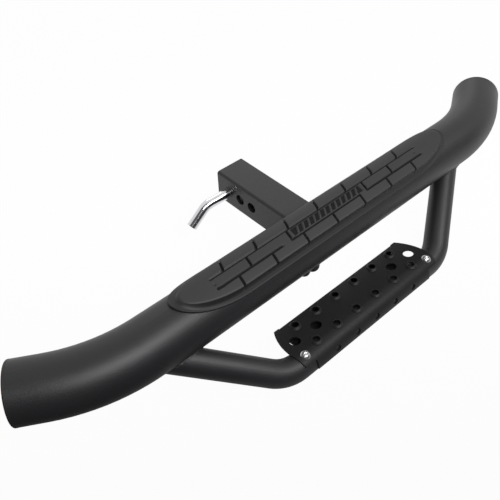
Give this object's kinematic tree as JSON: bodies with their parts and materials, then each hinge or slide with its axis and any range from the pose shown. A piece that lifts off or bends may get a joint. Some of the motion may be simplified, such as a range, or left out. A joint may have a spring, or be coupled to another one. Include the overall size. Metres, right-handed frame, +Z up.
{
  "type": "hitch receiver step",
  "caption": "Swept-back round step tube with a moulded pad, a lower hoop with a dimpled tread plate, and a square hitch shank with its pin.",
  "frame": {"origin": "centre of the hitch pin hole on the axis of the square shank", "axes": "+Y along the shank into the receiver, +X along the step tube to its right end as seen by someone who faces the vehicle, +Z up"},
  "size_m": [0.9242, 0.3086, 0.1653],
  "materials": {
    "powder_coat": "fine textured satin black powder coat",
    "pad": "moulded pad, satin black with a faint sheen",
    "end_cap": "matt black",
    "zinc": "bright zinc plate",
    "stainless": "plain stainless"
  },
  "bodies": {
    "frame": {"step_tube": "powder_coat", "end_cap_left": "end_cap", "end_cap_right": "end_cap", "step_pad": "pad", "shank": "powder_coat", "shank_weld": "powder_coat", "weld_lumps": "powder_coat", "hoop": "powder_coat", "hoop_weld_left": "powder_coat", "hoop_weld_right": "powder_coat", "tread_plate": "powder_coat", "tread_bolt_left": "stainless", "tread_bolt_right": "stainless", "rivet_nut_left": "zinc", "rivet_nut_right": "zinc"},
    "pin": {"hitch_pin": "zinc", "hitch_clip": "stainless"}
  },
  "joints": [
    {"name": "pin_slide", "type": "slide", "parent": "frame", "child": "pin", "axis": [1, 0, 0], "range_m": [-0.003, 0.034]}
  ]
}
